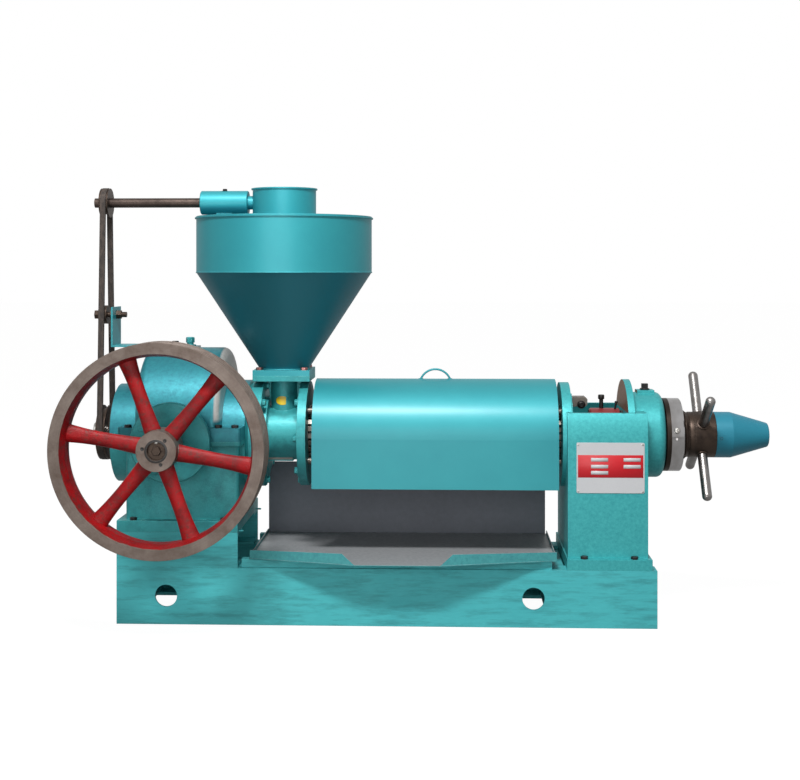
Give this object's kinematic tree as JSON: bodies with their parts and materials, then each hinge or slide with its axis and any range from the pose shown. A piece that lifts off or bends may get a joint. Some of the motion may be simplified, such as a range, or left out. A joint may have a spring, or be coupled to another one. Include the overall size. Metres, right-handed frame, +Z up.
{
  "type": "screw oil press",
  "caption": "Floor-standing screw press for oil seeds with hopper, gearbox, spoked belt wheel, hinged hood over the press cage, oil tray and adjusting screw.",
  "frame": {"origin": "under the middle of the base frame, on the floor", "axes": "+X along the machine from the gearbox to the adjusting screw, +Y from the operator's side to the back, +Z up"},
  "size_m": [1.982, 0.7009, 1.2359],
  "materials": {
    "teal_paint": "metallic enamel, semi-gloss",
    "red_paint": "brushed enamel on rough casting",
    "cast_iron": "machined grey iron, light rust",
    "bare_steel": "turned steel",
    "dark_steel": "oiled dark steel",
    "black_bolts": "black oxide",
    "grey_sheet": "flat grey primer on sheet",
    "chrome_ring": "polished",
    "belt_rubber": "worn matt rubber",
    "plate_white": "printed aluminium sheet"
  },
  "bodies": {
    "frame": {"front_rail": "teal_paint", "rear_rail": "teal_paint", "cross_members": "teal_paint", "tray_bars": "teal_paint", "plinth_channels": "teal_paint", "gearbox_housing": "teal_paint", "gearbox_cover": "teal_paint", "breather_plug": "teal_paint", "wheel_bearing_carrier": "teal_paint", "carrier_bolts": "teal_paint", "neck_ring": "teal_paint", "feed_housing": "teal_paint", "hopper": "teal_paint", "hopper_lid": "teal_paint", "filling_collar": "teal_paint", "top_shaft_sleeve": "teal_paint", "cage_end_ring": "teal_paint", "tensioner_bracket": "teal_paint", "oil_tray": "teal_paint", "cake_frame": "teal_paint", "gearbox_bolts": "black_bolts", "hopper_bolts": "black_bolts", "cake_frame_bolts": "black_bolts", "grease_plug": "black_bolts", "wheel_bearings": "bare_steel", "main_bearings": "bare_steel", "auger_hanger": "bare_steel", "cage_bars": "bare_steel", "tie_rods": "bare_steel", "hood_hinge_pins": "bare_steel", "cake_scraper": "bare_steel", "clamp_rings": "cast_iron", "bearing_end_cap": "dark_steel", "idler_bolt": "dark_steel", "feeder_belt": "belt_rubber", "splash_plate": "grey_sheet", "nameplate": "plate_white"},
    "main_gear": {"hub_sleeve": "bare_steel", "crown_gear": "cast_iron", "feeder_drive_pulley": "dark_steel"},
    "press_worm": {"press_shaft": "bare_steel", "worm_sections": "bare_steel", "choke_cone": "bare_steel"},
    "drive_wheel": {"drive_wheel": "cast_iron", "wheel_shaft": "bare_steel", "bevel_pinion": "bare_steel", "wheel_retaining_bolt": "dark_steel"},
    "top_shaft": {"top_shaft": "bare_steel", "feeder_driven_pulley": "dark_steel", "mitre_driver": "bare_steel"},
    "auger": {"feed_auger": "bare_steel", "mitre_driven": "bare_steel"},
    "idler": {"idler_roller": "dark_steel"},
    "thrust_cup": {"thrust_cup": "red_paint"},
    "adjusting_screw": {"adjusting_screw": "dark_steel", "tommy_bars": "bare_steel", "end_cone": "teal_paint"},
    "lock_ring": {"lock_ring": "chrome_ring"},
    "hood": {"hood": "teal_paint", "hood_handle": "teal_paint"}
  },
  "joints": [
    {"name": "main_gear_turn", "type": "hinge", "parent": "frame", "child": "main_gear", "pos_m": [-0.593, 0, 0.515], "axis": [1, 0, 0], "continuous": true},
    {"name": "press_shaft_slide", "type": "slide", "parent": "main_gear", "child": "press_worm", "axis": [1, 0, 0], "range_m": [-0.0161, 0.0081]},
    {"name": "drive_wheel_turn", "type": "hinge", "parent": "frame", "child": "drive_wheel", "pos_m": [-0.593, -0.3, 0.515], "axis": [0, 1, 0], "continuous": true},
    {"name": "top_shaft_turn", "type": "hinge", "parent": "frame", "child": "top_shaft", "pos_m": [-0.306, 0, 1.192], "axis": [1, 0, 0], "continuous": true},
    {"name": "auger_turn", "type": "hinge", "parent": "frame", "child": "auger", "pos_m": [-0.306, 0, 1.192], "axis": [0, 0, 1], "continuous": true},
    {"name": "idler_turn", "type": "hinge", "parent": "frame", "child": "idler", "pos_m": [-0.835, -0.02472, 0.863], "axis": [1, 0, 0], "continuous": true},
    {"name": "thrust_cup_slide", "type": "slide", "parent": "frame", "child": "thrust_cup", "axis": [1, 0, 0], "range_m": [-0.0161, 0.0081]},
    {"name": "adjusting_screw_turn", "type": "hinge", "parent": "thrust_cup", "child": "adjusting_screw", "pos_m": [0.908, 0, 0.515], "axis": [1, 0, 0], "range_deg": [-720, 360]},
    {"name": "lock_ring_turn", "type": "hinge", "parent": "frame", "child": "lock_ring", "pos_m": [0.82, 0, 0.515], "axis": [1, 0, 0], "range_deg": [-30, 30]},
    {"name": "hood_open", "type": "hinge", "parent": "frame", "child": "hood", "pos_m": [0.135, 0.175, 0.404], "axis": [-1, 0, 0], "range_deg": [0, 100]}
  ],
  "couplings": [
    {"joint": "main_gear_turn", "follows": "drive_wheel_turn", "ratio": 0.25},
    {"joint": "top_shaft_turn", "follows": "drive_wheel_turn", "ratio": 0.48718},
    {"joint": "auger_turn", "follows": "drive_wheel_turn", "ratio": -0.48718},
    {"joint": "idler_turn", "follows": "drive_wheel_turn", "ratio": 0.7037},
    {"joint": "thrust_cup_slide", "follows": "adjusting_screw_turn", "m_per_rad": 0.0012732},
    {"joint": "press_shaft_slide", "follows": "adjusting_screw_turn", "m_per_rad": 0.0012732}
  ]
}
